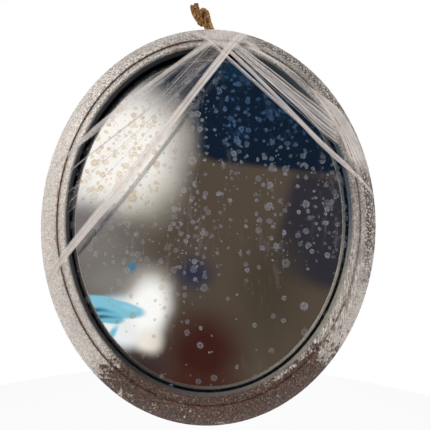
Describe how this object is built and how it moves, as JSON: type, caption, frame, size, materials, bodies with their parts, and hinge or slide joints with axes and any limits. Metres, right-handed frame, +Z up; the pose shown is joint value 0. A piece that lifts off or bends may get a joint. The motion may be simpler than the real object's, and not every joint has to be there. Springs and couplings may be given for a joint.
{
  "type": "wall mirror",
  "caption": "Oval wall mirror: silver-leafed frame, foxed glass, knotted hanging cord, board held by turn buttons, web across the front.",
  "frame": {"origin": "the point on the wall's surface where the wall hook passes between the two strands of the hanging cord", "axes": "+Z up, +X to the right of someone who looks into the mirror, +Y into the wall, so the glass faces -Y"},
  "size_m": [0.3345, 0.0271, 0.4412],
  "materials": {
    "silver_leaf": "turned wood, aged silver leaf over red-brown bole",
    "mirror": "silvered float glass with foxing",
    "card": "grey board",
    "plywood": "sanded birch plywood",
    "steel": "zinc plated",
    "brass": "dull brass plate",
    "jute": "laid jute cord",
    "rubber": "matt",
    "web_fibre": "stretched white polyester fibre"
  },
  "bodies": {
    "root": {"frame_moulding": "silver_leaf", "inner_slip": "silver_leaf", "mirror_glass": "mirror", "glass_pad": "card", "backing_board": "plywood", "button_screws": "brass", "screw_eye": "brass", "hanging_cord": "jute", "cord_knot": "jute", "cord_tail_left": "jute", "cord_tail_right": "jute", "wall_bumper_left": "rubber", "wall_bumper_right": "rubber", "web_crown": "web_fibre", "web_strand_left_upper": "web_fibre", "web_strand_left_lower": "web_fibre", "web_strand_right_upper": "web_fibre", "web_strand_right_lower": "web_fibre", "web_film_right": "web_fibre"},
    "button_1": {"turn_button_1": "steel"},
    "button_2": {"turn_button_2": "steel"},
    "button_3": {"turn_button_3": "steel"},
    "button_4": {"turn_button_4": "steel"},
    "button_5": {"turn_button_5": "steel"},
    "button_6": {"turn_button_6": "steel"}
  },
  "joints": [
    {"name": "button_1_turn", "type": "hinge", "parent": "root", "child": "button_1", "pos_m": [0.08214, -0.0053, -0.04781], "axis": [0, 1, 0], "continuous": true},
    {"name": "button_2_turn", "type": "hinge", "parent": "root", "child": "button_2", "pos_m": [0.1596, -0.0053, -0.2095], "axis": [0, 1, 0], "continuous": true},
    {"name": "button_3_turn", "type": "hinge", "parent": "root", "child": "button_3", "pos_m": [0.08214, -0.0053, -0.37119], "axis": [0, 1, 0], "continuous": true},
    {"name": "button_4_turn", "type": "hinge", "parent": "root", "child": "button_4", "pos_m": [-0.06894, -0.0053, -0.37119], "axis": [0, 1, 0], "continuous": true},
    {"name": "button_5_turn", "type": "hinge", "parent": "root", "child": "button_5", "pos_m": [-0.1464, -0.0053, -0.2095], "axis": [0, 1, 0], "continuous": true},
    {"name": "button_6_turn", "type": "hinge", "parent": "root", "child": "button_6", "pos_m": [-0.06894, -0.0053, -0.04781], "axis": [0, 1, 0], "continuous": true}
  ]
}
